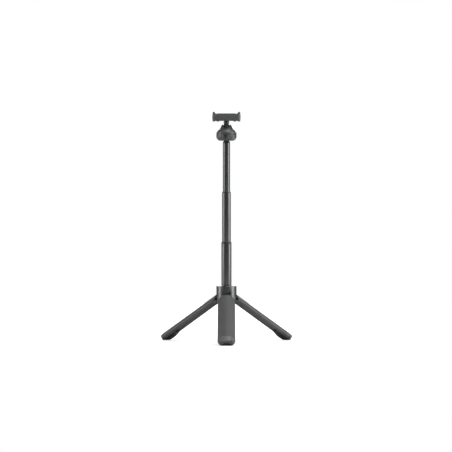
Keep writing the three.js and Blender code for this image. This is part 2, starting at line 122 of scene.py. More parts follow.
# Head
KNOB_FOOT = 321.7
KNOB_TOP = 340.1
KNOB_R = 16.15
LOBES = 6
LOBE_TURN = math.radians(-35)
BALL_Z = 343.0
BALL_R = 6.3
STEM_R = 4.4
HORN_TOP = 347.6
NOTCH_R = 5.4
NOTCH_RISE = 4.3
SOCKET_FOOT = 323.0
SHANK_R = 9.3
SHANK_TOP = 336.0
THREAD_TOP = 335.6
THREAD_STEP = 1.15
SCOOP_R = 7.0
SCOOP_OFFSET = 3.7
SCOOP_ARCH = 4.2
SCOOP_Z = 331.2

# Clip
CLIP_FOOT = 353.7
CLIP_TOP = 365.0
CLIP_HALF_WIDTH = 21.7
CLIP_HALF_DEPTH = 13.5
HOOK_HALF_DEPTH = 8.0
HOOK_FOOT = 352.7
HOOK_TOP = 368.0
HOOK_PIN_X = 19.6
HOOK_PIN_Z = 359.6
HOOK_FOOT_X = 22.0
HOOK_BELLY_X = 23.3
HOOK_BELLY_Z = 360.2
HOOK_LIP_X = 17.6
HOOK_INNER_X = 18.3
HOOK_PIN_R = 1.0
HOOK_BARREL_R = 1.9
HOOK_ROOM_X = 17.2
SEAT_HALF_WIDTH = 15.0
SEAT_HALF_DEPTH = 10.0
BUMPER_X = 13.4
BUMPER_Y = -8.6
BUMPER_R = 2.4
MAGNET_X = 10.8
MAGNET_R = 4.0

# Camera, lamps and floor, in metres, degrees and watts
CAMERA_DISTANCE = 5.0
CAMERA_LENS = 249.0
CAMERA_ELEVATION = 1.0
CAMERA_AIM = (-0.0007, 0.0246, 0.1856)
LAMP_AIM_Z = 0.17
LAMPS = (
    # name, azimuth, height, distance, size, power
    ("left_box", -84, 0.34, 1.15, (0.6, 1.3), 9.0),
    ("right_box", 80, 0.34, 1.1, (0.6, 1.3), 11.0),
    ("top_box", 62, 1.5, 0.5, (0.8, 0.8), 13.0),
    ("front_fill", 10, 1.7, 1.6, (1.2, 0.6), 5.0),
    ("back_fill", 180, 0.8, 1.6, (1.0, 0.6), 24.0),
)
WORLD_AROUND = 0.045
FLOOR_R = 1.5
FLOOR_WHITE = 0.55
GLOW_REACH = (0.05, 0.7)
GLOW = (0.58, 0.78)

# Materials: how many noise cells there are to a metre
CLOUD_SCALE = 55.0
SMUDGE_SCALE = 160.0
DUST_SCALE = 420.0


# ---- Camera, lights and floor ----

def make_camera():
    data = bpy.data.cameras.new("photo_camera")
    data.sensor_width = 36
    data.lens = CAMERA_LENS
    data.clip_end = 200
    camera = bpy.data.objects.new("photo_camera", data)
    bpy.context.scene.collection.objects.link(camera)
    aim = Vector(CAMERA_AIM)
    elevation = math.radians(CAMERA_ELEVATION)
    back = Vector((0, -math.cos(elevation), math.sin(elevation)))
    camera.location = aim + CAMERA_DISTANCE * back
    camera.rotation_euler = (-back).to_track_quat("-Z", "Y").to_euler()
    bpy.context.scene.camera = camera


def soft_box(name, azimuth, height, distance, size, power):
    """An area lamp round the object; azimuth 0 is at the camera's side, positive to the right."""
    data = bpy.data.lights.new(name, "AREA")
    data.shape = "RECTANGLE"
    data.size, data.size_y = size
    data.energy = power
    lamp = bpy.data.objects.new(name, data)
    bpy.context.scene.collection.objects.link(lamp)
    a = math.radians(azimuth)
    lamp.location = (distance * math.sin(a), -distance * math.cos(a), height)
    aim = Vector((0, 0, LAMP_AIM_Z)) - lamp.location
    lamp.rotation_euler = aim.to_track_quat("-Z", "Y").to_euler()


def make_world():
    """White to the camera and nearly dark to the object."""
    world = bpy.data.worlds.new("studio")
    bpy.context.scene.world = world
    world.use_nodes = True
    tree = world.node_tree
    tree.nodes.clear()
    out = tree.nodes.new("ShaderNodeOutputWorld")
    seen = tree.nodes.new("ShaderNodeBackground")
    seen.inputs["Color"].default_value = (1, 1, 1, 1)
    seen.inputs["Strength"].default_value = 1.0
    around = tree.nodes.new("ShaderNodeBackground")
    around.inputs["Color"].default_value = (1, 1, 1, 1)
    around.inputs["Strength"].default_value = WORLD_AROUND
    path = tree.nodes.new("ShaderNodeLightPath")
    mix = tree.nodes.new("ShaderNodeMixShader")
    tree.links.new(path.outputs["Is Camera Ray"], mix.inputs["Fac"])
    tree.links.new(around.outputs[0], mix.inputs[1])
    tree.links.new(seen.outputs[0], mix.inputs[2])
    tree.links.new(mix.outputs[0], out.inputs["Surface"])


def make_floor():
    """A pale disc with a glow that only the camera sees, so that it fades into the white backdrop."""
    mesh = bpy.data.meshes.new("floor")
    form = bmesh.new()
    bmesh.ops.create_circle(form, cap_ends=True, radius=FLOOR_R, segments=SIDES)
    form.to_mesh(mesh)
    form.free()
    floor = bpy.data.objects.new("floor", mesh)
    bpy.context.scene.collection.objects.link(floor)
    paint = bpy.data.materials.new("floor_white")
    paint.use_nodes = True
    tree = paint.node_tree
    bsdf = tree.nodes["Principled BSDF"]
    bsdf.inputs["Base Color"].default_value = (FLOOR_WHITE, FLOOR_WHITE, FLOOR_WHITE, 1)
    bsdf.inputs["Roughness"].default_value = 0.9
    bsdf.inputs["Specular IOR Level"].default_value = 0.1
    bsdf.inputs["Emission Color"].default_value = (1, 1, 1, 1)
    place = tree.nodes.new("ShaderNodeTexCoord")
    length = tree.nodes.new("ShaderNodeVectorMath")
    length.operation = "LENGTH"
    ramp = tree.nodes.new("ShaderNodeMapRange")
    ramp.interpolation_type = "SMOOTHSTEP"
    ramp.inputs["From Min"].default_value, ramp.inputs["From Max"].default_value = GLOW_REACH
    ramp.inputs["To Min"].default_value, ramp.inputs["To Max"].default_value = GLOW
    tree.links.new(place.outputs["Object"], length.inputs[0])
    tree.links.new(length.outputs["Value"], ramp.inputs["Value"])
    seen = tree.nodes.new("ShaderNodeLightPath")
    glow = tree.nodes.new("ShaderNodeMath")
    glow.operation = "MULTIPLY"
    tree.links.new(ramp.outputs["Result"], glow.inputs[0])
    tree.links.new(seen.outputs["Is Camera Ray"], glow.inputs[1])
    tree.links.new(glow.outputs["Value"], bsdf.inputs["Emission Strength"])
    mesh.materials.append(paint)


make_camera()
make_world()
make_floor()
for lamp_values in LAMPS:
    soft_box(*lamp_values)
bpy.context.scene.view_settings.view_transform = "Standard"


# ---- Mesh building, in millimetres about the rod's axis ----

def raw(verts, faces):
    """A mesh object from points and faces, its doubled points merged and its faces turned outwards."""
    mesh = bpy.data.meshes.new("raw")
    mesh.from_pydata([tuple(v) for v in verts], [], faces)
    form = bmesh.new()
    form.from_mesh(mesh)
    bmesh.ops.remove_doubles(form, verts=form.verts, dist=1e-5)
    bmesh.ops.recalc_face_normals(form, faces=form.faces)
    form.to_mesh(mesh)
    form.free()
    piece = bpy.data.objects.new("raw", mesh)
    bpy.context.scene.collection.objects.link(piece)
    return piece


def turned(corners, sides=SIDES):
    """Turns a closed [radius, height] section about the Z axis; it may start and end on the axis."""
    verts, rings = [], []
    for r, z in corners:
        if r < 1e-6:
            rings.append([len(verts)] * sides)
            verts.append((0, 0, z))
            continue
        rings.append(list(range(len(verts), len(verts) + sides)))
        for i in range(sides):
            verts.append((r * math.cos(i * TURN / sides), r * math.sin(i * TURN / sides), z))
    closed = corners[0][0] > 1e-6
    pairs = list(zip(rings, rings[1:])) + ([(rings[-1], rings[0])] if closed else [])
    faces = []
    for low, high in pairs:
        for i in range(sides):
            j = (i + 1) % sides
            face = list(dict.fromkeys([low[i], low[j], high[j], high[i]]))
            if len(face) > 2:
                faces.append(face)
    return raw(verts, faces)


def bent(start, middle, end, t):
    """Point at t, from 0 to 1, on a curve that leaves start towards middle and reaches end from it."""
    return (1 - t) ** 2 * start + 2 * t * (1 - t) * middle + t * t * end


def softened(corners, radius=0.3, steps=3, closed=None):
    """Rounds the corners of a [radius, height] section; corners on the axis stay as they are."""
    if closed is None:
        closed = corners[0][0] > 1e-6
    points = []
    count = len(corners)
    for i, corner in enumerate(corners):
        here = Vector(corner)
        if not closed and i in (0, count - 1):
            points.append(tuple(here))
            continue
        back = Vector(corners[i - 1]) - here
        ahead = Vector(corners[(i + 1) % count]) - here
        angle = back.angle(ahead)
        if angle > math.radians(165):
            points.append(tuple(here))
            continue
        reach = min(radius / math.tan(angle / 2), 0.45 * back.length, 0.45 * ahead.length)
        start = here + reach * back.normalized()
        end = here + reach * ahead.normalized()
        for k in range(steps + 1):
            t = k / steps
            points.append(tuple(bent(start, here, end, t)))
    return points


def lathe(corners, radius=0.3, sides=SIDES):
    return turned(softened(corners, radius), sides)


def ring(inner, outer, foot, top, radius=0.2, sides=SIDES):
    return lathe([[inner, foot], [outer, foot], [outer, top], [inner, top]], radius, sides)


def drum(radius, foot, top, sides=SMALL_SIDES, edge=0.0):
    corners = [[0, foot], [radius, foot], [radius, top], [0, top]]
    return turned(softened(corners, edge) if edge else corners, sides)


def loft(loops):
    """Skins closed loops of equal counts and caps both ends."""
    count = len(loops[0])
    verts = [v for loop in loops for v in loop]
    faces = []
    for row in range(len(loops) - 1):
        for i in range(count):
            j = (i + 1) % count
            low, high = row * count, (row + 1) * count
            faces.append([low + i, low + j, high + j, high + i])
    faces.append(list(range(count)))
    faces.append([(len(loops) - 1) * count + i for i in range(count)])
    return raw(verts, faces)


def block(x0, x1, y0, y1, z0, z1):
    return loft([[(x0, y0, z), (x1, y0, z), (x1, y1, z), (x0, y1, z)] for z in (z0, z1)])


def extruded(outline, start, end, edge=0.0):
    """An [x, z] outline pushed along Y from start to end, its two rims rounded by edge."""
    loops = []
    rounds = [(edge * (1 - math.sin(a)), edge * (1 - math.cos(a))) for a in (0, 0.52, 1.05, QUARTER)]
    if not edge:
        rounds = [(0, 0)]
    for inset, along in rounds:
        loops.append([(x, start + along, z) for x, z in inset_loop(outline, inset)])
    for inset, along in reversed(rounds):
        loops.append([(x, end - along, z) for x, z in inset_loop(outline, inset)])
    return loft(loops)


def inset_loop(points, distance):
    """Moves each point of a closed flat loop inwards."""
    if distance < 1e-9:
        return [tuple(p) for p in points]
    count = len(points)
    area = sum(
        points[i][0] * points[(i + 1) % count][1] - points[(i + 1) % count][0] * points[i][1]
        for i in range(count)
    )
    turn = 1 if area > 0 else -1
    shifted = []
    for i, point in enumerate(points):
        a = Vector(points[i - 1])
        b = Vector(point)
        c = Vector(points[(i + 1) % count])
        first, second = (b - a).normalized(), (c - b).normalized()
        n1 = Vector((-first.y, first.x)) * turn
        n2 = Vector((-second.y, second.x)) * turn
        middle = (n1 + n2).normalized()
        scale = distance / max(0.5, middle.dot(n1))
        shifted.append(tuple(b + middle * scale))
    return shifted


def moved(piece, matrix):
    piece.data.transform(matrix)
    return piece


def shift(piece, x=0.0, y=0.0, z=0.0):
    return moved(piece, Matrix.Translation((x, y, z)))


def twist(piece, angle, axis="Z"):
    return moved(piece, Matrix.Rotation(angle, 4, axis))


def cross_drum(radius, half, outwards, height, sides=SMALL_SIDES, edge=0.0):
    """A drum lying along X in front of the rod."""
    return shift(twist(drum(radius, -half, half, sides, edge), QUARTER, "Y"), 0, -outwards, height)


def bake(piece):
    """Applies the piece's modifiers."""
    graph = bpy.context.evaluated_depsgraph_get()
    mesh = bpy.data.meshes.new_from_object(piece.evaluated_get(graph))
    old = piece.data
    piece.modifiers.clear()
    piece.data = mesh
    bpy.data.meshes.remove(old)
    return piece


def combine(piece, tools, operation):
    for tool in tools:
        modifier = piece.modifiers.new("solid", "BOOLEAN")
        modifier.operation = operation
        modifier.solver = "MANIFOLD"
        modifier.object = tool
    bake(piece)
    for tool in tools:
        mesh = tool.data
        bpy.data.objects.remove(tool)
        bpy.data.meshes.remove(mesh)
    return piece


def cut(piece, *tools):
    return combine(piece, tools, "DIFFERENCE")


def fuse(piece, *tools):
    return combine(piece, tools, "UNION")


def triangulated(piece):
    """Splits every face into triangles: a bore through one large face would be filled in wrongly."""
    form = bmesh.new()
    form.from_mesh(piece.data)
    bmesh.ops.triangulate(form, faces=form.faces)
    form.to_mesh(piece.data)
    form.free()
    return piece


def bevelled(piece, width, segments=2, angle=32):
    modifier = piece.modifiers.new("edge", "BEVEL")
    modifier.width = width
    modifier.segments = segments
    modifier.limit_method = "ANGLE"
    modifier.angle_limit = math.radians(angle)
    modifier.use_clamp_overlap = True
    modifier.miter_outer = "MITER_ARC"
    return bake(piece)


def place(piece, name, body, slot, *nodes, smooth=32):
    """Puts a millimetre piece into the part's frame, names it and lets it ride."""
    moved(piece, Matrix.Scale(MM, 4) @ Matrix.Translation((0, ROD_Y, 0)))
    piece.name = name
    piece.data.name = name
    piece.data.shade_smooth()
    piece.data.set_sharp_from_angle(angle=math.radians(smooth))
    piece.data.materials.clear()
    piece.data.materials.append(PAINT[slot])
    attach(piece, body)
    if nodes:
        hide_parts(*nodes)
    return piece


# ---- Materials ----

def link(tree, source, target):
    tree.links.new(source, target)


def noise(tree, place_socket, scale, detail=3.0, roughness=0.55):
    node = tree.nodes.new("ShaderNodeTexNoise")
    node.inputs["Scale"].default_value = scale
    node.inputs["Detail"].default_value = detail
    node.inputs["Roughness"].default_value = roughness
    link(tree, place_socket, node.inputs["Vector"])
    return node.outputs["Fac"]


def mapped(tree, value, low, high, out_low, out_high):
    node = tree.nodes.new("ShaderNodeMapRange")
    node.inputs["From Min"].default_value = low
    node.inputs["From Max"].default_value = high
    node.inputs["To Min"].default_value = out_low
    node.inputs["To Max"].default_value = out_high
    link(tree, value, node.inputs["Value"])
    return node.outputs["Result"]


def math_node(tree, operation, a, b):
    node = tree.nodes.new("ShaderNodeMath")
    node.operation = operation
    for socket, value in zip(node.inputs, (a, b)):
        if isinstance(value, (int, float)):
            socket.default_value = value
        else:
            link(tree, value, socket)
    return node.outputs["Value"]


def blend_color(tree, factor, a, b):
    node = tree.nodes.new("ShaderNodeMix")
    node.data_type = "RGBA"
    link(tree, factor, node.inputs["Factor"])
    for socket, value in ((node.inputs[6], a), (node.inputs[7], b)):
        if isinstance(value, tuple):
            socket.default_value = value
        else:
            link(tree, value, socket)
    return node.outputs[2]


def grey(tone, warmth=0.0):
    return (tone * (1 - warmth), tone, tone * (1 + warmth), 1)


def finish_material(name, tone, roughness, metallic=0.0, specular=0.5, grain=1400.0, bump=2e-5,
                    spread=0.12, wear_and_glint=1.6, stretch=(1, 1, 1), warmth=0.015, color=None, dust=0.0):
    """A procedural finish: cloudy tone, fine grain with bump, uneven gloss, and convex edges made
    lighter and glossier, partly as scuffing and partly as a painted highlight.
    """
    paint = bpy.data.materials.new(name)
    paint.use_nodes = True
    tree = paint.node_tree
    bsdf = tree.nodes["Principled BSDF"]
    bsdf.inputs["Metallic"].default_value = metallic
    bsdf.inputs["Specular IOR Level"].default_value = specular
    where = tree.nodes.new("ShaderNodeTexCoord").outputs["Object"]
    mapping = tree.nodes.new("ShaderNodeMapping")
    mapping.inputs["Scale"].default_value = stretch
    link(tree, where, mapping.inputs["Vector"])
    fine = noise(tree, mapping.outputs["Vector"], grain, 2.0, 0.6)
    cloud = noise(tree, where, CLOUD_SCALE, 4.0, 0.6)
    smudge = noise(tree, where, SMUDGE_SCALE, 5.0, 0.65)
    base = color or grey(tone, warmth)
    dark = tuple(c * (1 - spread) for c in base[:3]) + (1,)
    light = tuple(min(1, c * (1 + spread)) for c in base[:3]) + (1,)
    # Lighter tone for convex edges: partly scuffing, partly a painted edge highlight.
    worn_and_glint = tuple(min(1, c * wear_and_glint) for c in base[:3]) + (1,)
    grain_share = math_node(tree, "MULTIPLY", fine, 0.35)
    shade = math_node(tree, "ADD", mapped(tree, cloud, 0.3, 0.7, 0.0, 0.65), grain_share)
    toned = blend_color(tree, shade, dark, light)
    # Mask of convex edges from pointiness, broken up by noise: it places the scuffing and the painted
    # edge highlight.
    edge = tree.nodes.new("ShaderNodeNewGeometry").outputs["Pointiness"]
    rubbed_and_glint = math_node(tree, "MULTIPLY", mapped(tree, edge, 0.52, 0.6, 0.0, 1.0),
                       mapped(tree, smudge, 0.35, 0.7, 0.25, 1.0))
    # Convex edges mixed towards the lighter tone: painted highlight along the edges, together with
    # scuffing.
    toned = blend_color(tree, rubbed_and_glint, toned, worn_and_glint)
    if dust:
        settled = mapped(tree, noise(tree, where, DUST_SCALE, 6.0, 0.7), 0.52, 0.75, 0.0, dust)
        toned = blend_color(tree, settled, toned, grey(0.16))
    link(tree, toned, bsdf.inputs["Base Color"])
    gloss = mapped(tree, smudge, 0.3, 0.7, roughness - 0.06, roughness + 0.07)
    gloss = math_node(tree, "SUBTRACT", gloss, math_node(tree, "MULTIPLY", rubbed_and_glint, 0.08))
    link(tree, gloss, bsdf.inputs["Roughness"])
    bumped = tree.nodes.new("ShaderNodeBump")
    bumped.inputs["Strength"].default_value = 0.6
    bumped.inputs["Distance"].default_value = bump
    link(tree, fine, bumped.inputs["Height"])
    link(tree, bumped.outputs["Normal"], bsdf.inputs["Normal"])
    return paint


DRAWN = (1.0, 1.0, 0.03)
PAINT = {
    "collar_metal": finish_material("collar_anodised", 0.12, 0.4, metallic=0.88, grain=2600.0,
                                    bump=1.2e-6, spread=0.08),
    "tube_metal": finish_material("tube_anodised", 0.15, 0.36, metallic=0.93, grain=2400.0,
                                  bump=8e-7, spread=0.07, stretch=DRAWN),
    "leg_frame": finish_material("leg_frame_nylon", 0.13, 0.42, grain=1900.0, bump=1.2e-5),
    "leg_grip": finish_material("leg_grip_soft", 0.088, 0.6, grain=1500.0, bump=1.5e-5, spread=0.09,
                                wear_and_glint=1.25),
    "foot_rubber": finish_material("foot_rubber", 0.03, 0.7, grain=1200.0, bump=6e-5, spread=0.2,
                                   wear_and_glint=1.7, dust=0.35),
    "bush_plastic": finish_material("bush_acetal", 0.03, 0.45, grain=1600.0, bump=1e-5),
    "head_plastic": finish_material("head_nylon", 0.045, 0.46, grain=1700.0, bump=1e-5),
    "knob_plastic": finish_material("knob_nylon", 0.09, 0.42, grain=1500.0, bump=1.2e-5),
    "clip_plastic": finish_material("clip_nylon", 0.105, 0.52, grain=1700.0, bump=1e-5),
    "ball_metal": finish_material("ball_anodised", 0.13, 0.4, metallic=0.5, grain=3000.0,
                                  bump=2e-6, spread=0.05),
    "steel": finish_material("pin_steel", 0.5, 0.3, metallic=1.0, grain=2600.0, bump=6e-6,
                             spread=0.08, wear_and_glint=1.2),
    "brass": finish_material("brass", 0.5, 0.34, metallic=1.0, grain=2200.0, bump=8e-6,
                             spread=0.1, wear_and_glint=1.15, color=(0.62, 0.46, 0.22, 1)),
}


# ---- Legs (folded, facing -Y) ----

def front_half(s, grow, top, end, corner):
    """Half-width of a leg's front outline at distance s below the hinge."""
    half = LEG_HALF_WIDTH + grow
    if s < top + SHOULDER_LONG:
        t = min(1.0, (top + SHOULDER_LONG - s) / SHOULDER_LONG)
        return half - SHOULDER_WIDE + SHOULDER_WIDE * math.sqrt(max(0.0, 1 - t * t))
    if s > end - corner:
        t = min(1.0, (s - end + corner) / corner)
        return half - corner + corner * math.sqrt(max(0.0, 1 - t * t))
    return half


def toe_crest(s):
    """How far the rounded toe reaches out from the rod's axis at distance s below the hinge."""
    if s <= TOE_START:
        return LEG_R
    t = min(1.0, (s - TOE_START) / (LEG_END - TOE_START))
    return LEG_R - TOE_DROP + TOE_DROP * math.sqrt(max(0.0, 1 - t * t))


def wall_point(radius, half_angle, gap):
    angle = half_angle - math.asin(gap / radius)
    return Vector((radius * math.sin(angle), -radius * math.cos(angle)))


def third_loop(half, inner, outer, half_angle, gap, rounds=0.6, outer_steps=26, inner_steps=14):
    """Section of a third of the handle, no wider than half to each side, with rounded corners."""
    tip, root = wall_point(outer, half_angle, gap), wall_point(inner, half_angle, gap)
    reach = math.asin(min(half, tip.x) / outer)
    corner = Vector((outer * math.sin(reach), -outer * math.cos(reach)))
    if half <= root.x:
        b = math.asin(half / inner)
        root = Vector((half, -inner * math.cos(b)))
    else:
        b = math.atan2(root.x, -root.y)
    if root.x < half < tip.x:
        t = (half - root.x) / (tip.x - root.x)
        kink = root.lerp(tip, min(t, 0.8))
    else:
        kink = root.lerp(corner, 0.5)
    points = []
    for i in range(1, outer_steps):
        a = -reach + 2 * reach * i / outer_steps
        points.append((outer * math.sin(a), -outer * math.cos(a)))
    before = Vector(points[-1])
    points += rounded_corner(before, corner, kink, rounds)
    points.append(tuple(kink))
    inner_next = Vector((inner * math.sin(b * 0.86), -inner * math.cos(b * 0.86)))
    points += rounded_corner(kink, root, inner_next, min(rounds, 0.4))
    for i in range(1, inner_steps):
        a = b * 0.86 * (1 - 2 * i / inner_steps)
        points.append((inner * math.sin(a), -inner * math.cos(a)))
    mirrored = [(-x, y) for x, y in rounded_corner(kink, root, inner_next, min(rounds, 0.4))]
    points += mirrored[::-1]
    points.append((-kink.x, kink.y))
    points += [(-x, y) for x, y in rounded_corner(before, corner, kink, rounds)][::-1]
    return points


def rounded_corner(before, corner, after, radius, steps=4):
    back, ahead = before - corner, after - corner
    angle = max(0.3, back.angle(ahead, QUARTER))
    reach = radius / math.tan(angle / 2)
    start = corner + min(reach, 0.48 * back.length) * back.normalized()
    end = corner + min(reach, 0.48 * ahead.length) * ahead.normalized()
    points = []
    for k in range(steps + 1):
        t = k / steps
        points.append(tuple(bent(start, corner, end, t)))
    return points


def stations(top, end, corner, shoulder=14, toe=10, straight=6):
    """Distances below the hinge at which a leg's sections stand, closer together at its two ends."""
    found = []
    for i in range(shoulder + 1):
        found.append(top + SHOULDER_LONG * (1 - math.cos(QUARTER * i / shoulder)))
    first, last = top + SHOULDER_LONG, end - corner
    for i in range(1, straight):
        found.append(first + (last - first) * i / straight)
    for i in range(toe + 1):
        found.append(last + corner * math.sin(QUARTER * i / toe))
    return found


def third(grow, top, end, corner, inner, outer, half_angle, gap, rounds=0.6, end_round=0.0):
    """A leg-shaped solid between two radii."""
    loops = []
    for s in stations(top, end, corner):
        half = max(0.6, front_half(s, grow, top, end, corner))
        loop = third_loop(half, inner, outer, half_angle, gap, min(rounds, (outer - inner) / 3))
        sides = []
        if end_round and s - top < 1e-6:
            for a in (0.0, 0.45, 0.9, 1.3):
                inset = end_round * (1 - math.sin(a))
                sides.append((inset, end_round * (1 - math.cos(a))))
        else:
            sides.append((0.0, 0.0))
        for inset, along in sides:
            loops.append([(x, y, HINGE_Z - s - along) for x, y in inset_loop(loop, inset)])
    return loft(loops)


def pocket(index):
    """A blind pocket in the leg's inner side, with sloped ends."""
    start = POCKET_START + POCKET_STEP * index
    end = start + POCKET_LONG
    loops = []
    for s, inset in ((start, POCKET_EDGE), (start + POCKET_EDGE, 0.0), (end - POCKET_EDGE, 0.0),
                     (end, POCKET_EDGE)):
        loop = third_loop(UNTRIMMED, 9, POCKET_R, POCKET_HALF_ANGLE, 0.0, 0.9, 16, 10)
        loops.append([(x, y, HINGE_Z - s) for x, y in inset_loop(loop, inset)])
    return loft(loops)


def shoulder_hollow(side):
    """Blind hollow between the leg's skins that opens on one shoulder."""
    loops = []
    turn = side * HOLLOW_TURN
    c, s = math.cos(turn), math.sin(turn)
    for down in (HOLLOW_START, HOLLOW_END):
        loop = third_loop(UNTRIMMED, HOLLOW_INNER_R, HOLLOW_OUTER_R, HOLLOW_HALF_ANGLE, 0.0, 0.5, 12, 10)
        loops.append([(x * c - y * s, x * s + y * c, HINGE_Z - down) for x, y in loop])
    return loft(loops)


def knuckle():
    """Hinge barrel with a neck that runs out into the leg's top."""
    barrel = cross_drum(KNUCKLE_R, KNUCKLE_HALF, HINGE_R, HINGE_Z, SMALL_SIDES, 0.3)
    neck = block(-KNUCKLE_HALF + 0.02, KNUCKLE_HALF - 0.02, -HINGE_R - KNUCKLE_R + 0.02,
                 -KNUCKLE_INNER, HINGE_Z - LEG_TOP - 1, HINGE_Z)
    return fuse(barrel, neck)


def toe_cutter():
    """Takes the toe's outer side off along its rounded crest."""
    loops = []
    for i in range(25):
        s = TOE_START - 0.5 + (LEG_END - TOE_START + 0.5) * math.sin(QUARTER * i / 24)
        crest = toe_crest(s) + (0.4 if s < TOE_START else 0.0)
        corners = ((-20, -crest), (20, -crest), (20, -25), (-20, -25))
        loops.append([(x, y, HINGE_Z - s) for x, y in corners])
    last = loops[-1]
    loops.append([(x, y, z - 2) for x, y, z in last])
    return loft(loops)


def leg_shell():
    shell = third(0, LEG_TOP, LEG_END, TOE_CORNER_R, LEG_INNER_R, LEG_R, LEG_HALF_ANGLE,
                  LEG_EDGE_GAP, 0.35, 1.2)
    seat = third(SEAT_GAP - GRIP_INSET, LEG_TOP + GRIP_INSET - SEAT_GAP, GRIP_END + SEAT_GAP,
                 GRIP_CORNER_R, LEG_R - GRIP_THICK - SEAT_GAP, LEG_R + 2,
                 GRIP_HALF_ANGLE + SEAT_GAP / LEG_R, 0.0, 0.3)
    pockets = [pocket(i) for i in range(POCKET_COUNT)]
    cut(shell, toe_cutter(), seat, shoulder_hollow(-1), shoulder_hollow(1), *pockets)
    fuse(shell, knuckle())
    return cut(shell, cross_drum(PIN_R + 0.2, KNUCKLE_HALF + 1, HINGE_R, HINGE_Z))


def leg_grip():
    panel = third(-GRIP_INSET, LEG_TOP + GRIP_INSET, GRIP_END, GRIP_CORNER_R,
                  LEG_R - GRIP_THICK, LEG_R, GRIP_HALF_ANGLE, 0.0, 0.35, 0.3)
    return bevelled(cut(panel, toe_cutter()), 0.45, 3, 40)


def foot_inner(s):
    """How far the foot's inner side stands from the rod's axis."""
    knots = ((99.0, 10.2), (99.5, 8.6), (100.2, 6.9), (101.2, 5.2), (102.6, 3.6), (104.6, 2.2),
             (107.5, 1.4), (111.0, 1.2), (115.0, 1.3), (118.5, 1.8), (121.0, 2.7), (122.6, 3.9),
             (123.8, 5.6), (124.6, 7.6), (125.1, 9.8))
    for (s0, y0), (s1, y1) in zip(knots, knots[1:]):
        if s <= s1:
            return y0 + (y1 - y0) * max(0.0, s - s0) / (s1 - s0)
    return knots[-1][1]


def foot_loop(s):
    """Section of the rubber foot at distance s below the hinge."""
    outer = LEG_INNER_R - 0.3
    near = foot_inner(s)
    half = front_half(s, -0.1, -40, LEG_END - 0.2, TOE_CORNER_R)
    tip = wall_point(outer, LEG_HALF_ANGLE, LEG_EDGE_GAP)
    reach = math.asin(min(half, tip.x) / outer)
    corner = Vector((outer * math.sin(reach), -outer * math.cos(reach)))
    if -corner.y - 0.15 < near < 9:
        near = -corner.y - 0.15
    near_x = min(half, near * math.tan(LEG_HALF_ANGLE) * 0.97)
    if near >= -corner.y:
        reach = math.acos(min(1.0, near / outer)) * 0.98
        corner = Vector((outer * math.sin(reach), -outer * math.cos(reach)))
        near_x = corner.x * 0.9
    root = Vector((max(0.5, near_x), -near))
    before = Vector((outer * math.sin(reach * 0.92), -outer * math.cos(reach * 0.92)))
    side = rounded_corner(before, corner, root, 0.5)
    under = rounded_corner(corner, root, Vector((0, root.y)), 0.9)
    points = []
    for i in range(1, 20):
        a = -reach * 0.92 + 2 * reach * 0.92 * i / 20
        points.append((outer * math.sin(a), -outer * math.cos(a)))
    points += side + under
    for i in range(1, 8):
        points.append((under[-1][0] * (1 - i / 4), root.y))
    points += [(-x, y) for x, y in under][::-1] + [(-x, y) for x, y in side][::-1]
    return points


def leg_foot():
    steps = (99.0, 99.3, 99.7, 100.2, 100.8, 101.6, 102.6, 104.0, 105.6, 107.5, 110.0, 113.0, 116.0,
             118.4, 120.0, 121.3, 122.4, 123.2, 123.9, 124.4, 124.8, 125.05)
    return loft([[(x, y, HINGE_Z - s) for x, y in foot_loop(s)] for s in steps])


def swing(turn):
    """Opens a folded leg about its hinge and turns it to its place round the rod."""
    hinge = Matrix.Translation((0, -HINGE_R, HINGE_Z))
    opened = hinge @ Matrix.Rotation(-OPEN_ANGLE, 4, "X") @ hinge.inverted()
    return Matrix.Rotation(turn, 4, "Z") @ opened


def copy_of(piece):
    twin = bpy.data.objects.new("raw", piece.data.copy())
    bpy.context.scene.collection.objects.link(twin)
    return twin


def build_legs():
    makers = (("leg_shell", leg_shell(), "leg_frame"), ("leg_grip", leg_grip(), "leg_grip"),
              ("leg_foot", leg_foot(), "foot_rubber"))
    for index, side in enumerate(LEG_NAMES):
        turn = index * TURN / 3
        for kind, master, slot in makers:
            twin = moved(copy_of(master), swing(turn))
            place(twin, f"{side}_{kind}_fine", f"{side}_leg", slot, f"{side}_{kind}")
        pin = twist(cross_drum(PIN_R, PIN_HALF, HINGE_R, HINGE_Z, SMALL_SIDES, 0.15), turn)
        place(pin, f"{side}_hinge_pin_fine", "handle", "steel", f"{side}_hinge_pin")
    for _kind, master, _slot in makers:
        bpy.data.objects.remove(master)


# ---- Collar and core ----

def field(half, foot, top, depth_r, corner):
    """Cutter for a rounded window in the collar's front, down to the radius depth_r."""
    outline = softened([[-half, foot], [half, foot], [half, top], [-half, top]], corner, 4, True)
    return extruded(outline, -COLLAR_R - 2, -depth_r)


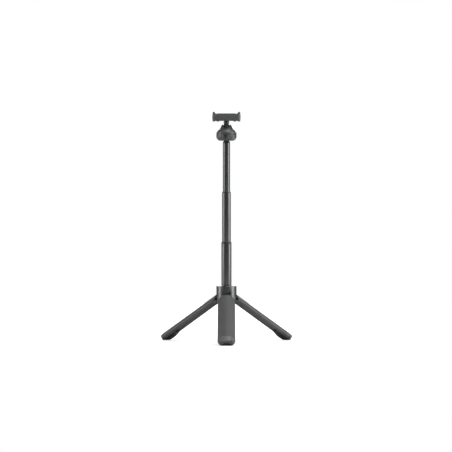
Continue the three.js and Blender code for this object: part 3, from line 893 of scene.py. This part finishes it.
def collar():
    bore = CORE_OUTER_R + 0.3
    profile = [[bore, COLLAR_FOOT + 0.3], [bore + 0.3, COLLAR_FOOT], [COLLAR_R - 0.3, COLLAR_FOOT],
               [COLLAR_R, COLLAR_FOOT + 0.3]]
    for i in range(7):
        a = QUARTER * i / 6
        profile.append([COLLAR_R - COLLAR_EDGE + COLLAR_EDGE * math.cos(a),
                        COLLAR_TOP - COLLAR_EDGE + COLLAR_EDGE * math.sin(a)])
    profile += [[bore + 0.3, COLLAR_TOP], [bore, COLLAR_TOP - 0.3]]
    body = turned(profile, 120)
    tools = []
    for i in range(3):
        turn = i * TURN / 3
        opening = third(0.9, LEG_TOP - 0.9, COLLAR_TOP, 2.0, 4.0, LEG_R + 4, LEG_HALF_ANGLE, -0.1, 0.2)
        half = KNUCKLE_HALF + 0.3
        slot = block(-half, half, -LEG_R - 2, -8, COLLAR_FOOT - 5, HINGE_Z + KNUCKLE_R + 0.6)
        recess = field(RECESS_HALF, HINGE_Z - 4, RECESS_TOP, RECESS_R, 1.0)
        window = field(WINDOW_HALF, WINDOW_FOOT, WINDOW_TOP, WINDOW_R, 0.8)
        bore_tool = cross_drum(PIN_R + 0.1, PIN_HALF + 0.3, HINGE_R, HINGE_Z, 24)
        tools += [twist(tool, turn) for tool in (opening, slot, recess, window, bore_tool)]
    cut(body, *tools)
    return bevelled(body, 0.3)


def build_handle():
    place(collar(), "collar_fine", "handle", "collar_metal", "collar")
    guide = ring(LOWER["outer"] + 0.15, CORE_OUTER_R, CORE_TOP + 0.3, COLLAR_TOP + 0.3, 0.35)
    place(guide, "collar_guide_fine", "handle", "bush_plastic", "collar_guide")
    place(ring(CORE_INNER_R, CORE_OUTER_R, CORE_FOOT + 2.4, CORE_TOP, 0.25), "core_tube_fine",
          "handle", "tube_metal", "core_tube")
    spigot = CORE_INNER_R - 0.1
    plug = lathe([
        [0, CORE_FOOT + 0.5], [5.5, CORE_FOOT + 0.5], [6.3, CORE_FOOT], [CORE_OUTER_R - 0.6, CORE_FOOT],
        [CORE_OUTER_R, CORE_FOOT + 0.6], [CORE_OUTER_R, CORE_FOOT + 2.1], [spigot, CORE_FOOT + 2.1],
        [spigot, CORE_FOOT + 4], [0, CORE_FOOT + 4],
    ], 0.25)
    place(plug, "core_plug_fine", "handle", "bush_plastic", "core_plug")


# ---- Rod ----

def sliding_bush(section, larger_bore, top):
    outside, inside, lip = larger_bore - 0.1, section["outer"] + 0.08, section["bore"]
    return lathe([
        [lip, section["lip"]], [outside, section["lip"]], [outside, top], [inside, top],
        [inside, section["lip"] + 2], [lip, section["lip"] + 2],
    ], 0.15)


def mouth_ring(section, inner_tube, top):
    bore, foot = inner_tube["outer"] + 0.15, section["top"] + 0.2
    return lathe([
        [bore, foot], [section["outer"], foot], [section["outer"], top - 0.8],
        [section["outer"] - 0.5, top], [bore, top],
    ], 0.12)


def rod_plug():
    shoulder = []
    for i in range(9):
        a = QUARTER * i / 8
        shoulder.append([4.4 + 1.4 * math.cos(a), UPPER["top"] + 0.8 + 2.4 * math.sin(a)])
    spigot, top = UPPER["bore"] - 0.15, UPPER["top"]
    return lathe([
        [0, top - 12], [spigot, top - 12], [spigot, top + 0.2], [UPPER["outer"], top + 0.2],
        *shoulder, [PLUG_NECK_R, top + 3.2], [PLUG_NECK_R, PLUG_TOP], [0, PLUG_TOP],
    ], 0.15)


def build_rod():
    stages = (("lower", LOWER), ("middle", MIDDLE), ("upper", UPPER))
    for name, section in stages:
        tube = ring(section["bore"], section["outer"], section["foot"], section["top"], 0.15)
        place(tube, f"{name}_tube_fine", f"{name}_stage", "tube_metal", f"{name}_tube")
    bushes = (("lower", LOWER, CORE_INNER_R, CORE_TOP),
              ("middle", MIDDLE, LOWER["bore"], LOWER["top"] - 0.1),
              ("upper", UPPER, MIDDLE["bore"], MIDDLE["top"] - 0.1))
    for name, section, bore, top in bushes:
        place(sliding_bush(section, bore, top), f"{name}_bush_fine", f"{name}_stage", "bush_plastic",
              f"{name}_bush")
    place(mouth_ring(LOWER, MIDDLE, LOWER_MOUTH_TOP), "lower_mouth_ring_fine", "lower_stage",
          "bush_plastic", "lower_mouth_ring")
    place(mouth_ring(MIDDLE, UPPER, MIDDLE_MOUTH_TOP), "middle_mouth_ring_fine", "middle_stage",
          "bush_plastic", "middle_mouth_ring")
    place(rod_plug(), "rod_plug_fine", "upper_stage", "head_plastic", "rod_plug")


# ---- Ball head ----

def sphere(radius, height, sides=64):
    half = sides // 2
    corners = [[radius * math.sin(math.pi * i / half), height - radius * math.cos(math.pi * i / half)]
               for i in range(half + 1)]
    corners[0][0] = corners[-1][0] = 0
    return turned(corners, sides)


def ball_socket():
    outside = lathe([
        [0, SOCKET_FOOT], [SHANK_R, SOCKET_FOOT], [SHANK_R, SHANK_TOP], [11.3, SHANK_TOP + 1.2],
        [11.3, SHANK_TOP + 3.2], [7.1, HORN_TOP], [0, HORN_TOP],
    ], 0.5)
    mouth = turned([[0, HORN_TOP - 2], [5.6, HORN_TOP - 2], [6.3, HORN_TOP + 1], [0, HORN_TOP + 1]])
    notch = []
    for i in range(25):
        a = math.pi + math.pi * i / 24
        notch.append([NOTCH_R * math.cos(a), BALL_Z + NOTCH_RISE + NOTCH_R * math.sin(a)])
    notch += [[NOTCH_R, HORN_TOP + 2], [-NOTCH_R, HORN_TOP + 2]]
    plug_room = drum(PLUG_NECK_R + 0.3, SOCKET_FOOT - 3, PLUG_TOP + 0.3)
    cup_room = drum(4.9, PLUG_TOP + 0.2, BALL_Z - 3)
    cut(outside, sphere(BALL_R + 0.3, BALL_Z), plug_room, cup_room, mouth, extruded(notch, -15, 15))
    return bevelled(outside, 0.3)


def ball_stud():
    stem_angle = math.acos(STEM_R * 0.86 / BALL_R)
    corners = []
    for i in range(25):
        a = -QUARTER + (QUARTER + stem_angle) * i / 24
        corners.append([max(0.0, BALL_R * math.cos(a)), BALL_Z + BALL_R * math.sin(a)])
    corners[0][0] = 0
    corners += softened([corners[-1], [STEM_R, BALL_Z + 6], [STEM_R, CLIP_FOOT - 0.9],
                         [3.4, CLIP_FOOT - 0.3], [3.4, CLIP_FOOT + 2.2], [0, CLIP_FOOT + 2.2]],
                        0.3, 3, False)[1:]
    stud = turned(corners)
    return cut(stud, drum(1.6, CLIP_FOOT - 4, CLIP_FOOT + 3))


def finger_scoop():
    """Thumbnail-shaped hollow in the knob's side: open below, arched above."""
    arch = [QUARTER * i / 8 for i in range(9)]
    dome = [[SCOOP_R * math.cos(a), SCOOP_ARCH * math.sin(a)] for a in arch]
    dome[-1][0] = 0
    scoop = turned([[0, -14], [SCOOP_R, -14], *dome], 64)
    return shift(twist(scoop, -0.1, "X"), 0, -KNOB_R - SCOOP_OFFSET, SCOOP_Z)


def locking_knob():
    body = lathe([
        [9.9, KNOB_FOOT + 0.8], [10.6, KNOB_FOOT], [13.5, KNOB_FOOT + 1.4], [15.4, KNOB_FOOT + 3.6],
        [KNOB_R, KNOB_FOOT + 6], [KNOB_R, KNOB_TOP - 6.4], [15.4, KNOB_TOP - 4],
        [13.7, KNOB_TOP - 1.8], [12.2, KNOB_TOP], [11.25, KNOB_TOP], [11.75, KNOB_TOP - 1.1],
        [11.75, KNOB_FOOT + 2.4], [9.9, KNOB_FOOT + 2.4],
    ], 0.6, 120)
    scoops = [twist(finger_scoop(), LOBE_TURN + (i + 0.5) * TURN / LOBES) for i in range(LOBES)]
    cut(body, *scoops)
    return bevelled(body, 0.45, 3, 28)


def knob_thread():
    """Ring with parallel crests inside."""
    foot = KNOB_FOOT + 2.7
    crests = []
    for i in range(9):
        z = KNOB_FOOT + 3.2 + THREAD_STEP * i
        crests += [[9.6, z], [9.95, z + THREAD_STEP / 2]]
    return turned([*crests, [9.95, THREAD_TOP - 0.3], [10.2, THREAD_TOP], [11.45, THREAD_TOP],
                   [11.45, foot], [9.95, foot]])


def build_head():
    place(ball_socket(), "ball_socket_fine", "upper_stage", "head_plastic", "ball_socket")
    cup_foot, ball_foot = PLUG_TOP + 0.6, BALL_Z - BALL_R
    cup = lathe([
        [0, cup_foot], [4.6, cup_foot], [4.6, ball_foot + 1.3], [2.6, ball_foot + 0.2],
        [0, ball_foot - 0.35],
    ], 0.2, 64)
    place(cup, "ball_cup_fine", "upper_stage", "brass", "ball_cup")
    place(locking_knob(), "locking_knob_fine", "knob", "knob_plastic", "locking_knob")
    place(knob_thread(), "knob_thread_fine", "knob", "brass", "knob_thread")
    place(ball_stud(), "ball_stud_fine", "stud", "ball_metal", "ball_stud")


# ---- Camera clip ----

def rounded_plate(half_width, half_depth, corner, foot, top, edge=0.0):
    outline = []
    for k in range(4):
        cx = (half_width - corner) * (1 if k in (0, 3) else -1)
        cy = (half_depth - corner) * (1 if k in (0, 1) else -1)
        for i in range(9):
            a = QUARTER * (k + i / 8)
            outline.append((cx + corner * math.cos(a), cy + corner * math.sin(a)))
    rounds = [(0.0, 0.0)]
    if edge:
        turns = (0, 0.4, 0.8, 1.2, QUARTER)
        rounds = [(edge * (1 - math.sin(a)), edge * (1 - math.cos(a))) for a in turns]
    loops = [[(x, y, foot + up) for x, y in inset_loop(outline, inset)] for inset, up in rounds]
    for inset, up in reversed(rounds):
        loops.append([(x, y, top - up) for x, y in inset_loop(outline, inset)])
    return loft(loops)


def clip_base():
    body = rounded_plate(CLIP_HALF_WIDTH, CLIP_HALF_DEPTH, 3, CLIP_FOOT, CLIP_TOP, 0.4)
    gap = HOOK_HALF_DEPTH + 0.3
    tools = []
    for side in (-1, 1):
        inner, outer = sorted((side * HOOK_ROOM_X, side * (CLIP_HALF_WIDTH + 2)))
        tools.append(block(inner, outer, -gap, gap, CLIP_FOOT - 1, CLIP_TOP + 1))
        tools.append(hook_pin(side, HOOK_PIN_R + 0.1, HOOK_HALF_DEPTH + 3.2))
        tools.append(shift(drum(MAGNET_R + 0.3, CLIP_TOP - 4, CLIP_TOP + 1), side * MAGNET_X))
    tools.append(rounded_plate(SEAT_HALF_WIDTH + 0.3, SEAT_HALF_DEPTH + 0.3, 2.3, CLIP_TOP - 1.3,
                               CLIP_TOP + 1))
    tools.append(drum(3.7, CLIP_FOOT - 1, CLIP_FOOT + 2.5))
    cut(body, *tools)
    cut(body, drum(1.9, CLIP_FOOT, CLIP_TOP), drum(3.6, CLIP_FOOT + 4.6, CLIP_TOP))
    return bevelled(body, 0.25, 2, 40)


def hook_pin(side, radius, half, edge=0.0):
    """A drum along Y on a hook's axis."""
    lying = twist(drum(radius, -half, half, 32, edge), QUARTER, "X")
    return shift(lying, side * HOOK_PIN_X, 0, HOOK_PIN_Z)


def hook(side):
    """Side hook: a bowed plate on a cross pin, with a lip over the seat and a finger pad below."""
    bow = []
    for i in range(13):
        t = i / 12
        bow.append([bent(HOOK_FOOT_X, HOOK_BELLY_X, CLIP_HALF_WIDTH, t),
                    bent(HOOK_FOOT, HOOK_BELLY_Z, HOOK_TOP - 0.2, t)])
    corners = [*bow, [HOOK_PIN_X, HOOK_TOP], [HOOK_LIP_X, CLIP_TOP + 1.1], [HOOK_LIP_X, CLIP_TOP - 2],
               [HOOK_INNER_X, CLIP_TOP - 3.4], [HOOK_INNER_X, HOOK_FOOT + 0.4], [18.8, HOOK_FOOT]]
    outline = softened(corners, 0.35, 3, True)
    body = extruded(outline, -HOOK_HALF_DEPTH, HOOK_HALF_DEPTH, 0.6)
    triangulated(fuse(body, hook_pin(1, HOOK_BARREL_R, HOOK_HALF_DEPTH, 0.3)))
    spring_room = block(15, HOOK_PIN_X + 2, -3.2, 3.2, HOOK_PIN_Z - 3.4, HOOK_PIN_Z + 3.2)
    cut(body, hook_pin(1, HOOK_PIN_R + 0.3, HOOK_HALF_DEPTH + 1), spring_room)
    return body if side > 0 else twist(body, math.pi)


def hook_spring(side):
    """Three turns of fine wire round a hook's pin."""
    loops = []
    steps, turns, radius, wire, half = 108, 3, 1.45, 0.25, 1.8
    for k in range(steps + 1):
        a = turns * TURN * k / steps
        out = Vector((math.cos(a), 0, math.sin(a)))
        rise = 2 * half / (turns * TURN)
        along = Vector((-math.sin(a) * radius, rise, math.cos(a) * radius)).normalized()
        across = out.cross(along)
        centre = radius * out + Vector((0, (2 * k / steps - 1) * half, 0))
        loops.append([tuple(centre + wire * (math.cos(b) * out + math.sin(b) * across))
                      for b in (i * TURN / 12 for i in range(12))])
    return shift(loft(loops), side * HOOK_PIN_X, 0, HOOK_PIN_Z)


def build_clip():
    place(clip_base(), "clip_base_fine", "clip", "clip_plastic", "clip_base")
    place(rounded_plate(SEAT_HALF_WIDTH, SEAT_HALF_DEPTH, 2, CLIP_TOP - 1, CLIP_TOP + 0.5, 0.35),
          "clip_seat_fine", "clip", "clip_plastic", "clip_seat")
    screw = lathe([
        [0, CLIP_FOOT - 3.7], [1.1, CLIP_FOOT - 3.7], [1.4, CLIP_FOOT - 3.3], [1.4, CLIP_FOOT + 4.9],
        [3.3, CLIP_FOOT + 4.9], [3.3, CLIP_FOOT + 6.9], [0, CLIP_FOOT + 6.9],
    ], 0.25, 48)
    hexagon = drum(1.25, CLIP_FOOT + 5.6, CLIP_FOOT + 8, 6)
    place(cut(screw, hexagon), "clip_screw_fine", "clip", "steel", "clip_screw")
    for name, side in (("left", -1), ("right", 1)):
        place(hook(side), f"{name}_hook_fine", f"{name}_latch", "clip_plastic", f"{name}_hook")
        pin = hook_pin(side, HOOK_PIN_R, HOOK_HALF_DEPTH + 3, 0.2)
        place(pin, f"{name}_hook_pin_fine", "clip", "steel", f"{name}_hook_pin")
        place(hook_spring(side), f"{name}_hook_spring_fine", "clip", "steel", f"{name}_hook_spring")
        magnet = shift(drum(MAGNET_R, CLIP_TOP - 3.7, CLIP_TOP - 1.3, 48, 0.3), side * MAGNET_X)
        place(magnet, f"{name}_magnet_fine", "clip", "steel", f"{name}_magnet")
        bumper = lathe([
            [0, CLIP_FOOT - 1.2], [1.6, CLIP_FOOT - 1.2], [BUMPER_R, CLIP_FOOT - 0.6],
            [BUMPER_R, CLIP_FOOT - 0.2], [0, CLIP_FOOT - 0.2],
        ], 0.3, 40)
        place(shift(bumper, side * BUMPER_X, BUMPER_Y), f"{name}_bumper_fine", "clip", "foot_rubber",
              f"{name}_bumper")


build_handle()
build_legs()
build_rod()
build_head()
build_clip()
